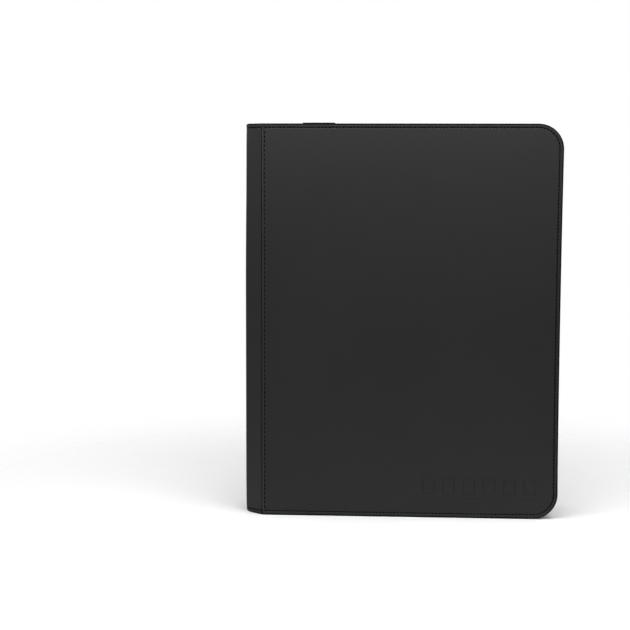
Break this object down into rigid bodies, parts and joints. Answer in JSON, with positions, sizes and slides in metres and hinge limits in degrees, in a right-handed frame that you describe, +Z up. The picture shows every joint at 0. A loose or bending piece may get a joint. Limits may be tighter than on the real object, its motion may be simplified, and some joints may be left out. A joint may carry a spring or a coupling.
{
  "type": "zip-around trading card binder",
  "caption": "Black padded leatherette card binder with zip-around edge, hinged spine and side-loading pocket leaves; covers open flat.",
  "frame": {"origin": "on the floor plane, in the middle of the closed binder's width and depth", "axes": "+X from the spine to the fore-edge, +Y from the front cover to the back cover, +Z up the spine"},
  "size_m": [0.287, 0.06, 0.3615],
  "materials": {
    "leatherette": "smooth matte black PU leatherette",
    "foam": "closed-cell foam sheet",
    "greyboard": "stiff grey board",
    "lining_cloth": "matte black woven lining",
    "zip_tape": "woven black zip tape",
    "zip_coil": "black nylon zip coil",
    "black_metal": "black lacquered metal",
    "black_plastic": "matte black plastic strip",
    "pocket_film": "clear film pockets over a black centre sheet"
  },
  "bodies": {
    "spine": {"spine_leatherette": "leatherette", "spine_board": "greyboard", "spine_lining": "lining_cloth", "binding_channel": "lining_cloth", "leaf_binding_margins": "pocket_film", "leaf_spacers": "black_plastic", "front_clamp_strip": "black_plastic", "back_clamp_strip": "black_plastic", "binding_rivets": "black_metal"},
    "front_hinge_strip": {"front_hinge_leatherette": "leatherette", "front_hinge_lining": "lining_cloth"},
    "front_cover": {"front_cover_leatherette": "leatherette", "front_cover_padding": "foam", "front_cover_board": "greyboard", "front_cover_lining": "lining_cloth", "front_gusset": "leatherette", "front_zipper_tape": "zip_tape", "front_zipper_coil": "zip_coil", "front_zipper_stops": "black_metal"},
    "back_hinge_strip": {"back_hinge_leatherette": "leatherette", "back_hinge_lining": "lining_cloth"},
    "back_cover": {"back_cover_leatherette": "leatherette", "back_cover_padding": "foam", "back_cover_board": "greyboard", "back_cover_lining": "lining_cloth", "back_gusset": "leatherette", "back_zipper_tape": "zip_tape", "back_zipper_coil": "zip_coil", "back_zipper_stops": "black_metal"},
    "slider": {"zipper_slider": "black_metal", "zipper_pull_pin": "black_metal"},
    "pull": {"zipper_pull": "black_metal"},
    "leaf_01": {"leaf_01": "pocket_film"},
    "leaf_02": {"leaf_02": "pocket_film"},
    "leaf_03": {"leaf_03": "pocket_film"},
    "leaf_04": {"leaf_04": "pocket_film"},
    "leaf_05": {"leaf_05": "pocket_film"},
    "leaf_06": {"leaf_06": "pocket_film"},
    "leaf_07": {"leaf_07": "pocket_film"},
    "leaf_08": {"leaf_08": "pocket_film"},
    "leaf_09": {"leaf_09": "pocket_film"},
    "leaf_10": {"leaf_10": "pocket_film"},
    "leaf_11": {"leaf_11": "pocket_film"},
    "leaf_12": {"leaf_12": "pocket_film"}
  },
  "joints": [
    {"name": "front_spine_crease", "type": "hinge", "parent": "spine", "child": "front_hinge_strip", "pos_m": [-0.1435, -0.017, 0.18], "axis": [0, 0, -1], "range_deg": [0, 50.9]},
    {"name": "front_cover_crease", "type": "hinge", "parent": "front_hinge_strip", "child": "front_cover", "pos_m": [-0.1275, -0.03, 0.18], "axis": [0, 0, -1], "range_deg": [0, 39.1]},
    {"name": "leaf_01_turn", "type": "hinge", "parent": "spine", "child": "leaf_01", "pos_m": [-0.118, -0.022, 0.18], "axis": [0, 0, -1], "range_deg": [0, 84.1]},
    {"name": "leaf_02_turn", "type": "hinge", "parent": "spine", "child": "leaf_02", "pos_m": [-0.118, -0.018, 0.18], "axis": [0, 0, -1], "range_deg": [0, 70.1]},
    {"name": "leaf_03_turn", "type": "hinge", "parent": "spine", "child": "leaf_03", "pos_m": [-0.118, -0.014, 0.18], "axis": [0, 0, -1], "range_deg": [0, 56.1]},
    {"name": "leaf_04_turn", "type": "hinge", "parent": "spine", "child": "leaf_04", "pos_m": [-0.118, -0.01, 0.18], "axis": [0, 0, -1], "range_deg": [0, 42.1]},
    {"name": "leaf_05_turn", "type": "hinge", "parent": "spine", "child": "leaf_05", "pos_m": [-0.118, -0.006, 0.18], "axis": [0, 0, -1], "range_deg": [0, 28.1]},
    {"name": "leaf_06_turn", "type": "hinge", "parent": "spine", "child": "leaf_06", "pos_m": [-0.118, -0.002, 0.18], "axis": [0, 0, -1], "range_deg": [0, 14.1]},
    {"name": "back_spine_crease", "type": "hinge", "parent": "spine", "child": "back_hinge_strip", "pos_m": [-0.1435, 0.017, 0.18], "axis": [0, 0, 1], "range_deg": [0, 50.9]},
    {"name": "back_cover_crease", "type": "hinge", "parent": "back_hinge_strip", "child": "back_cover", "pos_m": [-0.1275, 0.03, 0.18], "axis": [0, 0, 1], "range_deg": [0, 39.1]},
    {"name": "leaf_12_turn", "type": "hinge", "parent": "spine", "child": "leaf_12", "pos_m": [-0.118, 0.022, 0.18], "axis": [0, 0, 1], "range_deg": [0, 84.1]},
    {"name": "leaf_11_turn", "type": "hinge", "parent": "spine", "child": "leaf_11", "pos_m": [-0.118, 0.018, 0.18], "axis": [0, 0, 1], "range_deg": [0, 70.1]},
    {"name": "leaf_10_turn", "type": "hinge", "parent": "spine", "child": "leaf_10", "pos_m": [-0.118, 0.014, 0.18], "axis": [0, 0, 1], "range_deg": [0, 56.1]},
    {"name": "leaf_09_turn", "type": "hinge", "parent": "spine", "child": "leaf_09", "pos_m": [-0.118, 0.01, 0.18], "axis": [0, 0, 1], "range_deg": [0, 42.1]},
    {"name": "leaf_08_turn", "type": "hinge", "parent": "spine", "child": "leaf_08", "pos_m": [-0.118, 0.006, 0.18], "axis": [0, 0, 1], "range_deg": [0, 28.1]},
    {"name": "leaf_07_turn", "type": "hinge", "parent": "spine", "child": "leaf_07", "pos_m": [-0.118, 0.002, 0.18], "axis": [0, 0, 1], "range_deg": [0, 14.1]},
    {"name": "slider_travel", "type": "slide", "parent": "back_cover", "child": "slider", "axis": [1, 0, 0], "range_m": [-0.0145, 0.1955]},
    {"name": "pull_flip", "type": "hinge", "parent": "slider", "child": "pull", "pos_m": [-0.0915, 0, 0.3606], "axis": [0, -1, 0], "range_deg": [0, 175]}
  ],
  "couplings": [
    {"joint": "front_cover_crease", "follows": "front_spine_crease", "ratio": 0.768},
    {"joint": "leaf_01_turn", "follows": "front_spine_crease", "ratio": 1.6503},
    {"joint": "leaf_02_turn", "follows": "front_spine_crease", "ratio": 1.3752},
    {"joint": "leaf_03_turn", "follows": "front_spine_crease", "ratio": 1.1002},
    {"joint": "leaf_04_turn", "follows": "front_spine_crease", "ratio": 0.8251},
    {"joint": "leaf_05_turn", "follows": "front_spine_crease", "ratio": 0.5501},
    {"joint": "leaf_06_turn", "follows": "front_spine_crease", "ratio": 0.275},
    {"joint": "back_cover_crease", "follows": "back_spine_crease", "ratio": 0.768},
    {"joint": "leaf_12_turn", "follows": "back_spine_crease", "ratio": 1.6503},
    {"joint": "leaf_11_turn", "follows": "back_spine_crease", "ratio": 1.3752},
    {"joint": "leaf_10_turn", "follows": "back_spine_crease", "ratio": 1.1002},
    {"joint": "leaf_09_turn", "follows": "back_spine_crease", "ratio": 0.8251},
    {"joint": "leaf_08_turn", "follows": "back_spine_crease", "ratio": 0.5501},
    {"joint": "leaf_07_turn", "follows": "back_spine_crease", "ratio": 0.275}
  ]
}
